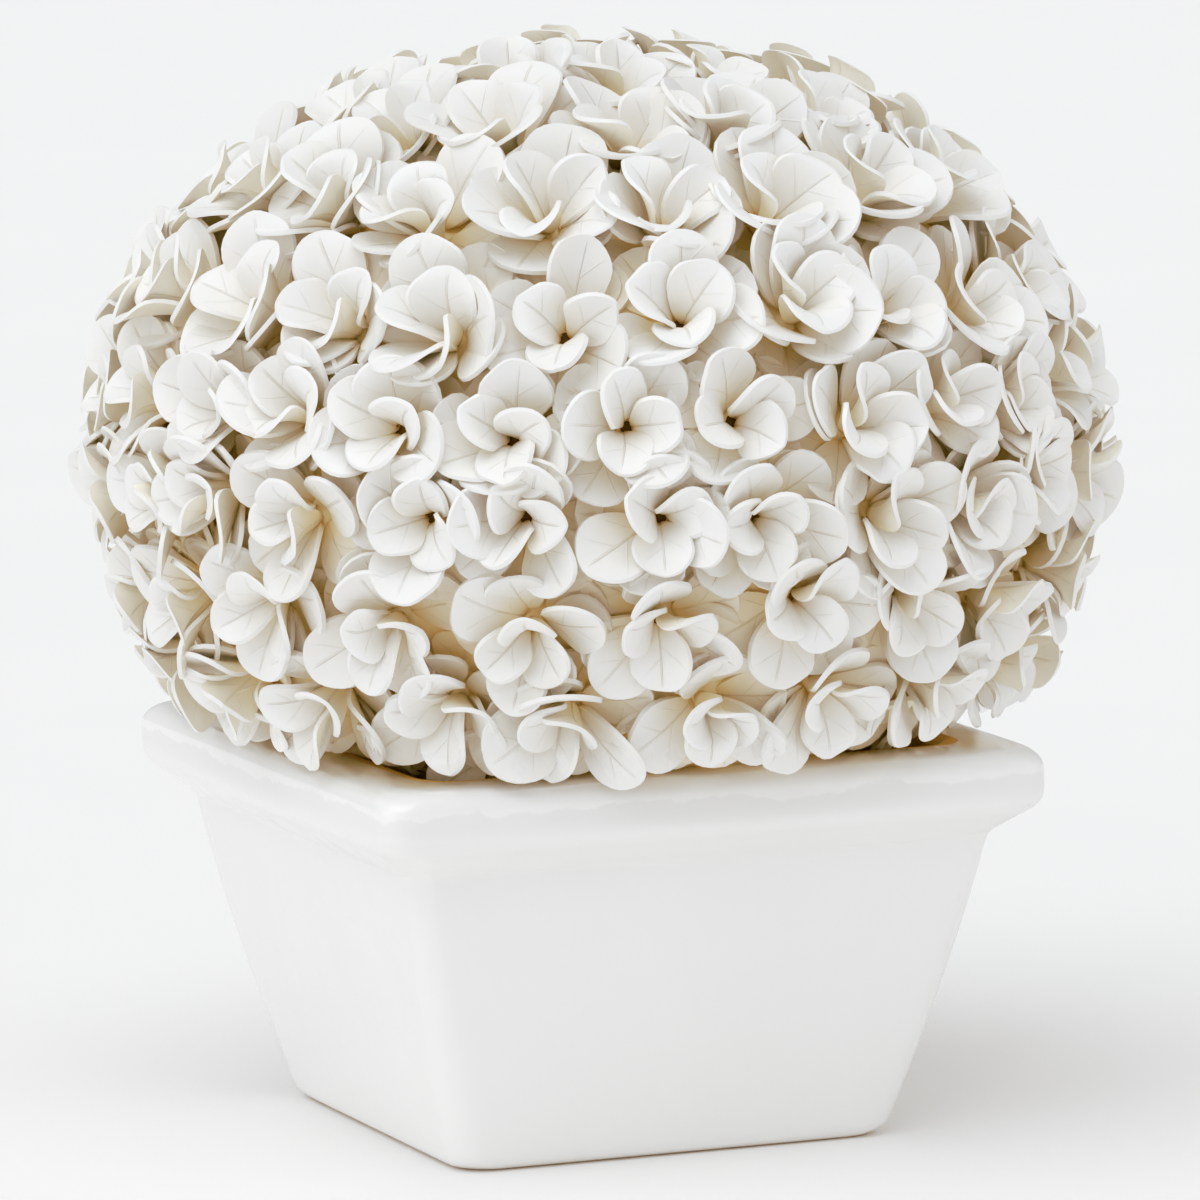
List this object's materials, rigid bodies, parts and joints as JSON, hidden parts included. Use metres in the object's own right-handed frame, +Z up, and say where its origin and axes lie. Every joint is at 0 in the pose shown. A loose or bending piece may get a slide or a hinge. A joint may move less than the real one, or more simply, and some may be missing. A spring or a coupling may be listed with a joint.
{
  "type": "potted boxwood topiary, porcelain",
  "caption": "Clipped boxwood ball of pressed white porcelain leaf rosettes, in a tapered square planter with a heavy rolled rim.",
  "frame": {"origin": "middle of the planter's flat underside, on the surface it stands on", "axes": "+Z up; X and Y square to the planter's sides, with -Y the front"},
  "size_m": [0.2287, 0.2288, 0.2435],
  "materials": {
    "planter_glaze": "gloss",
    "bisque": "matte",
    "ball_core": "matte",
    "leaf_porcelain": "satin"
  },
  "bodies": {
    "root": {"planter": "planter_glaze", "stem": "bisque", "ball": "ball_core", "leaf_row_01": "leaf_porcelain", "leaf_row_02": "leaf_porcelain", "leaf_row_03": "leaf_porcelain", "leaf_row_04": "leaf_porcelain", "leaf_row_05": "leaf_porcelain", "leaf_row_06": "leaf_porcelain", "leaf_row_07": "leaf_porcelain", "leaf_row_08": "leaf_porcelain", "leaf_row_09": "leaf_porcelain", "leaf_row_10": "leaf_porcelain"}
  },
  "joints": []
}
